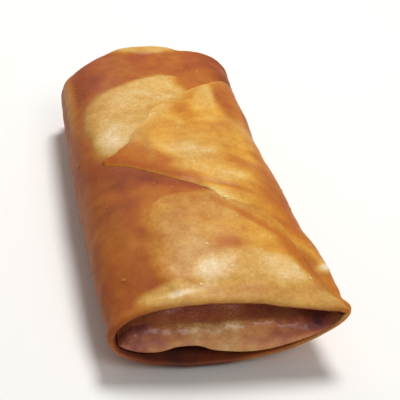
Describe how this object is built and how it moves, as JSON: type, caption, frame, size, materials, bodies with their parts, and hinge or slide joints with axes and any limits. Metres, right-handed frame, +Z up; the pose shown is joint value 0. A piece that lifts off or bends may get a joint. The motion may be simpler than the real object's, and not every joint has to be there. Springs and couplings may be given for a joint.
{
  "type": "fried spring roll",
  "caption": "Flattened fried spring roll: a golden-brown pastry wrapper with a pointed overlapping flap, rolled round a filled packet that shows in both open ends.",
  "frame": {"origin": "centre of the underside's box, on the surface the roll lies on", "axes": "+Y along the roll towards its back end, the open front mouth faces -Y, +X to the right as seen from the front, +Z up"},
  "size_m": [0.0476, 0.1, 0.0248],
  "materials": {
    "wrapper": "thin deep-fried wheat pastry, golden to red-brown with pale blisters, semi-gloss from oil",
    "packet": "inner turns of softer fried pastry round the filling, tan with brown mottling, oily gloss"
  },
  "bodies": {
    "root": {"outer_wrapper": "wrapper", "inner_roll": "packet"}
  },
  "joints": []
}
